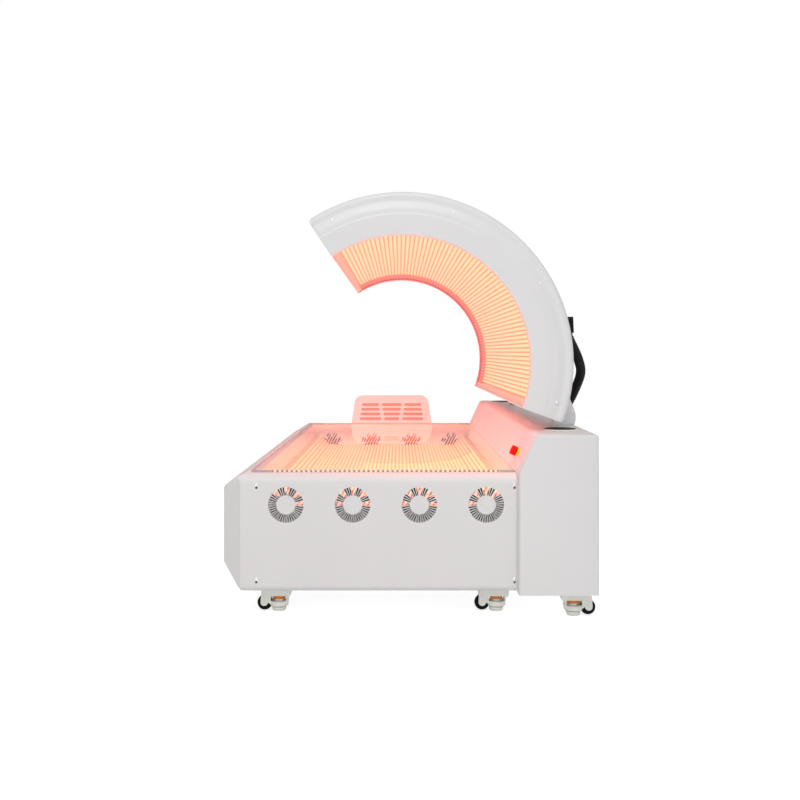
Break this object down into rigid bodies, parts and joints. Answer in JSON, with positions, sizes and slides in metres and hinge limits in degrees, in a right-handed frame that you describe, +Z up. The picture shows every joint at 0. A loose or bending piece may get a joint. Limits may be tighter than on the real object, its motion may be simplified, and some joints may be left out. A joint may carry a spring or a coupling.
{
  "type": "red light therapy bed",
  "caption": "White therapy bed with a lamp-lined clear top and a hinged lamp arch, on levelling castors, with a side cabinet, end fans, a slotted headrest and an emergency stop.",
  "frame": {"origin": "on the floor, at the centre of the bed's outline in plan", "axes": "+Z up; +Y along the bed towards the head end; +X towards the hinge cabinet"},
  "size_m": [1.233, 2.095, 1.3735],
  "materials": {
    "white_sheet": "satin",
    "white_moulding": "satin",
    "chassis": "satin",
    "liner": "satin",
    "lamps": "satin",
    "clear_acrylic": "gloss",
    "headrest_acrylic": "gloss",
    "speaker": "satin",
    "zinc_steel": "satin",
    "yellow_plastic": "satin",
    "red_plastic": "gloss",
    "black_rubber": "matte",
    "black_plastic": "matte",
    "castor_grey": "satin",
    "orange_plastic": "satin"
  },
  "bodies": {
    "base": {"chassis_tray": "chassis", "front_fascia": "white_moulding", "foot_end_panel": "white_sheet", "head_end_panel": "white_sheet", "tub_liner": "liner", "bed_lamp_rack": "lamps", "bed_acrylic_sheet": "clear_acrylic", "hinge_cabinet": "white_sheet", "cabinet_back_panel": "white_sheet", "speaker_foot": "speaker", "speaker_head": "speaker", "hinge_lug_foot": "white_sheet", "hinge_lug_head": "white_sheet", "hinge_pin_foot": "zinc_steel", "hinge_pin_head": "zinc_steel", "estop_base": "yellow_plastic", "cabinet_gland": "black_rubber", "cable_conduit": "black_rubber"},
    "canopy": {"canopy_outer_shell": "white_moulding", "canopy_foot_plate": "white_moulding", "canopy_head_plate": "white_moulding", "canopy_lamp_tray": "lamps", "canopy_acrylic_cover": "clear_acrylic", "hinge_arm_foot": "white_sheet", "hinge_arm_head": "white_sheet", "canopy_gland": "black_rubber"},
    "headrest": {"headrest": "headrest_acrylic"},
    "estop_button": {"estop_button": "red_plastic"},
    "fan_rotor_foot_1": {"fan_rotor_foot_1": "black_plastic"},
    "fan_rotor_foot_2": {"fan_rotor_foot_2": "black_plastic"},
    "fan_rotor_foot_3": {"fan_rotor_foot_3": "black_plastic"},
    "fan_rotor_foot_4": {"fan_rotor_foot_4": "black_plastic"},
    "fan_rotor_head_1": {"fan_rotor_head_1": "black_plastic"},
    "fan_rotor_head_2": {"fan_rotor_head_2": "black_plastic"},
    "fan_rotor_head_3": {"fan_rotor_head_3": "black_plastic"},
    "fan_rotor_head_4": {"fan_rotor_head_4": "black_plastic"},
    "castor_foot_entry_housing": {"castor_foot_entry_housing": "castor_grey"},
    "castor_foot_entry_wheel": {"castor_foot_entry_wheel": "black_rubber"},
    "castor_foot_entry_thumbwheel": {"castor_foot_entry_thumbwheel": "orange_plastic"},
    "castor_foot_entry_foot": {"castor_foot_entry_foot": "castor_grey"},
    "castor_foot_middle_housing": {"castor_foot_middle_housing": "castor_grey"},
    "castor_foot_middle_wheel": {"castor_foot_middle_wheel": "black_rubber"},
    "castor_foot_middle_thumbwheel": {"castor_foot_middle_thumbwheel": "orange_plastic"},
    "castor_foot_middle_foot": {"castor_foot_middle_foot": "castor_grey"},
    "castor_foot_cabinet_housing": {"castor_foot_cabinet_housing": "castor_grey"},
    "castor_foot_cabinet_wheel": {"castor_foot_cabinet_wheel": "black_rubber"},
    "castor_foot_cabinet_thumbwheel": {"castor_foot_cabinet_thumbwheel": "orange_plastic"},
    "castor_foot_cabinet_foot": {"castor_foot_cabinet_foot": "castor_grey"},
    "castor_head_entry_housing": {"castor_head_entry_housing": "castor_grey"},
    "castor_head_entry_wheel": {"castor_head_entry_wheel": "black_rubber"},
    "castor_head_entry_thumbwheel": {"castor_head_entry_thumbwheel": "orange_plastic"},
    "castor_head_entry_foot": {"castor_head_entry_foot": "castor_grey"},
    "castor_head_middle_housing": {"castor_head_middle_housing": "castor_grey"},
    "castor_head_middle_wheel": {"castor_head_middle_wheel": "black_rubber"},
    "castor_head_middle_thumbwheel": {"castor_head_middle_thumbwheel": "orange_plastic"},
    "castor_head_middle_foot": {"castor_head_middle_foot": "castor_grey"},
    "castor_head_cabinet_housing": {"castor_head_cabinet_housing": "castor_grey"},
    "castor_head_cabinet_wheel": {"castor_head_cabinet_wheel": "black_rubber"},
    "castor_head_cabinet_thumbwheel": {"castor_head_cabinet_thumbwheel": "orange_plastic"},
    "castor_head_cabinet_foot": {"castor_head_cabinet_foot": "castor_grey"}
  },
  "joints": [
    {"name": "canopy_hinge", "type": "hinge", "parent": "base", "child": "canopy", "pos_m": [0.522, 0, 0.617], "axis": [0, -1, 0], "range_deg": [0, 29], "deforming": ["cable_conduit"]},
    {"name": "headrest_lift", "type": "slide", "parent": "base", "child": "headrest", "axis": [0, 0, 1], "range_m": [0, 0.12]},
    {"name": "estop_press", "type": "slide", "parent": "base", "child": "estop_button", "axis": [0.9089, 0, -0.4169], "range_m": [0, 0.004], "stiffness_N_per_m": 600},
    {"name": "fan_rotor_foot_1_spin", "type": "hinge", "parent": "base", "child": "fan_rotor_foot_1", "pos_m": [-0.392, -0.9705, 0.36], "axis": [0, 1, 0], "continuous": true},
    {"name": "fan_rotor_foot_2_spin", "type": "hinge", "parent": "base", "child": "fan_rotor_foot_2", "pos_m": [-0.1782, -0.9705, 0.36], "axis": [0, 1, 0], "continuous": true},
    {"name": "fan_rotor_foot_3_spin", "type": "hinge", "parent": "base", "child": "fan_rotor_foot_3", "pos_m": [0.0356, -0.9705, 0.36], "axis": [0, 1, 0], "continuous": true},
    {"name": "fan_rotor_foot_4_spin", "type": "hinge", "parent": "base", "child": "fan_rotor_foot_4", "pos_m": [0.2494, -0.9705, 0.36], "axis": [0, 1, 0], "continuous": true},
    {"name": "fan_rotor_head_1_spin", "type": "hinge", "parent": "base", "child": "fan_rotor_head_1", "pos_m": [-0.392, 1.0255, 0.36], "axis": [0, -1, 0], "continuous": true},
    {"name": "fan_rotor_head_2_spin", "type": "hinge", "parent": "base", "child": "fan_rotor_head_2", "pos_m": [-0.1782, 1.0255, 0.36], "axis": [0, -1, 0], "continuous": true},
    {"name": "fan_rotor_head_3_spin", "type": "hinge", "parent": "base", "child": "fan_rotor_head_3", "pos_m": [0.0356, 1.0255, 0.36], "axis": [0, -1, 0], "continuous": true},
    {"name": "fan_rotor_head_4_spin", "type": "hinge", "parent": "base", "child": "fan_rotor_head_4", "pos_m": [0.2494, 1.0255, 0.36], "axis": [0, -1, 0], "continuous": true},
    {"name": "castor_foot_entry_swivel", "type": "hinge", "parent": "base", "child": "castor_foot_entry_housing", "pos_m": [-0.4245, -0.9025, 0.086], "axis": [0, 0, 1], "continuous": true},
    {"name": "castor_foot_entry_roll", "type": "hinge", "parent": "castor_foot_entry_housing", "child": "castor_foot_entry_wheel", "pos_m": [-0.4715, -0.9025, 0.0261], "axis": [0, 1, 0], "continuous": true},
    {"name": "castor_foot_entry_level", "type": "slide", "parent": "castor_foot_entry_housing", "child": "castor_foot_entry_foot", "axis": [0, 0, 1], "range_m": [-0.006, 0.003]},
    {"name": "castor_foot_entry_screw", "type": "hinge", "parent": "castor_foot_entry_housing", "child": "castor_foot_entry_thumbwheel", "pos_m": [-0.4245, -0.9025, 0.041], "axis": [0, 0, 1], "continuous": true},
    {"name": "castor_foot_middle_swivel", "type": "hinge", "parent": "base", "child": "castor_foot_middle_housing", "pos_m": [0.29, -0.9025, 0.086], "axis": [0, 0, 1], "continuous": true},
    {"name": "castor_foot_middle_roll", "type": "hinge", "parent": "castor_foot_middle_housing", "child": "castor_foot_middle_wheel", "pos_m": [0.243, -0.9025, 0.0261], "axis": [0, 1, 0], "continuous": true},
    {"name": "castor_foot_middle_level", "type": "slide", "parent": "castor_foot_middle_housing", "child": "castor_foot_middle_foot", "axis": [0, 0, 1], "range_m": [-0.006, 0.003]},
    {"name": "castor_foot_middle_screw", "type": "hinge", "parent": "castor_foot_middle_housing", "child": "castor_foot_middle_thumbwheel", "pos_m": [0.29, -0.9025, 0.041], "axis": [0, 0, 1], "continuous": true},
    {"name": "castor_foot_cabinet_swivel", "type": "hinge", "parent": "base", "child": "castor_foot_cabinet_housing", "pos_m": [0.5336, -0.9575, 0.086], "axis": [0, 0, 1], "continuous": true},
    {"name": "castor_foot_cabinet_roll", "type": "hinge", "parent": "castor_foot_cabinet_housing", "child": "castor_foot_cabinet_wheel", "pos_m": [0.5806, -0.9575, 0.0261], "axis": [0, 1, 0], "continuous": true},
    {"name": "castor_foot_cabinet_level", "type": "slide", "parent": "castor_foot_cabinet_housing", "child": "castor_foot_cabinet_foot", "axis": [0, 0, 1], "range_m": [-0.006, 0.003]},
    {"name": "castor_foot_cabinet_screw", "type": "hinge", "parent": "castor_foot_cabinet_housing", "child": "castor_foot_cabinet_thumbwheel", "pos_m": [0.5336, -0.9575, 0.041], "axis": [0, 0, 1], "continuous": true},
    {"name": "castor_head_entry_swivel", "type": "hinge", "parent": "base", "child": "castor_head_entry_housing", "pos_m": [-0.4245, 0.9575, 0.086], "axis": [0, 0, 1], "continuous": true},
    {"name": "castor_head_entry_roll", "type": "hinge", "parent": "castor_head_entry_housing", "child": "castor_head_entry_wheel", "pos_m": [-0.4715, 0.9575, 0.0261], "axis": [0, 1, 0], "continuous": true},
    {"name": "castor_head_entry_level", "type": "slide", "parent": "castor_head_entry_housing", "child": "castor_head_entry_foot", "axis": [0, 0, 1], "range_m": [-0.006, 0.003]},
    {"name": "castor_head_entry_screw", "type": "hinge", "parent": "castor_head_entry_housing", "child": "castor_head_entry_thumbwheel", "pos_m": [-0.4245, 0.9575, 0.041], "axis": [0, 0, 1], "continuous": true},
    {"name": "castor_head_middle_swivel", "type": "hinge", "parent": "base", "child": "castor_head_middle_housing", "pos_m": [0.29, 0.9575, 0.086], "axis": [0, 0, 1], "continuous": true},
    {"name": "castor_head_middle_roll", "type": "hinge", "parent": "castor_head_middle_housing", "child": "castor_head_middle_wheel", "pos_m": [0.243, 0.9575, 0.0261], "axis": [0, 1, 0], "continuous": true},
    {"name": "castor_head_middle_level", "type": "slide", "parent": "castor_head_middle_housing", "child": "castor_head_middle_foot", "axis": [0, 0, 1], "range_m": [-0.006, 0.003]},
    {"name": "castor_head_middle_screw", "type": "hinge", "parent": "castor_head_middle_housing", "child": "castor_head_middle_thumbwheel", "pos_m": [0.29, 0.9575, 0.041], "axis": [0, 0, 1], "continuous": true},
    {"name": "castor_head_cabinet_swivel", "type": "hinge", "parent": "base", "child": "castor_head_cabinet_housing", "pos_m": [0.5336, 0.9225, 0.086], "axis": [0, 0, 1], "continuous": true},
    {"name": "castor_head_cabinet_roll", "type": "hinge", "parent": "castor_head_cabinet_housing", "child": "castor_head_cabinet_wheel", "pos_m": [0.5806, 0.9225, 0.0261], "axis": [0, 1, 0], "continuous": true},
    {"name": "castor_head_cabinet_level", "type": "slide", "parent": "castor_head_cabinet_housing", "child": "castor_head_cabinet_foot", "axis": [0, 0, 1], "range_m": [-0.006, 0.003]},
    {"name": "castor_head_cabinet_screw", "type": "hinge", "parent": "castor_head_cabinet_housing", "child": "castor_head_cabinet_thumbwheel", "pos_m": [0.5336, 0.9225, 0.041], "axis": [0, 0, 1], "continuous": true}
  ],
  "couplings": [
    {"joint": "castor_foot_entry_screw", "follows": "castor_foot_entry_level", "rad_per_m": 3590.4},
    {"joint": "castor_foot_middle_screw", "follows": "castor_foot_middle_level", "rad_per_m": 3590.4},
    {"joint": "castor_foot_cabinet_screw", "follows": "castor_foot_cabinet_level", "rad_per_m": 3590.4},
    {"joint": "castor_head_entry_screw", "follows": "castor_head_entry_level", "rad_per_m": 3590.4},
    {"joint": "castor_head_middle_screw", "follows": "castor_head_middle_level", "rad_per_m": 3590.4},
    {"joint": "castor_head_cabinet_screw", "follows": "castor_head_cabinet_level", "rad_per_m": 3590.4}
  ]
}
